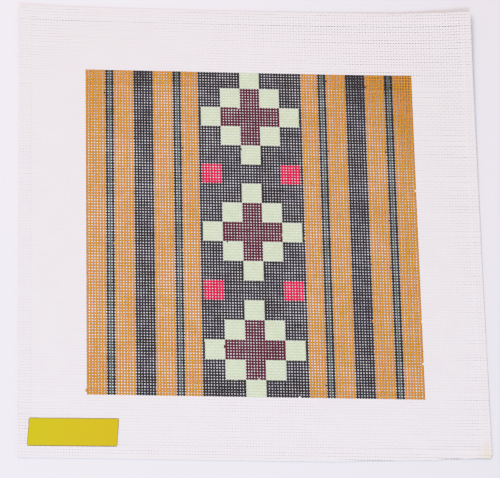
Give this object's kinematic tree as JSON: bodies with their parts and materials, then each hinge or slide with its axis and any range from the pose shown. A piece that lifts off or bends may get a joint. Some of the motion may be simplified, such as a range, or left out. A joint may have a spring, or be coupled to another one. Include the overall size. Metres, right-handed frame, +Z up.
{
  "type": "needlepoint canvas panel",
  "caption": "Square hemmed sheet of open-weave needlepoint canvas, painted with stripes and stepped diamonds of squares, with a paper label at one corner.",
  "frame": {"origin": "under the middle of the panel's outline, on the surface it lies on", "axes": "+Z up out of the painted face, +Y towards the panel's upper edge, +X to the right of the face"},
  "size_m": [0.329, 0.3176, 0.0081],
  "materials": {
    "canvas": "sized open-weave cotton, matte",
    "label": "plain yellow paper, slightly satin"
  },
  "bodies": {
    "root": {"canvas": "canvas", "label": "label"}
  },
  "joints": []
}
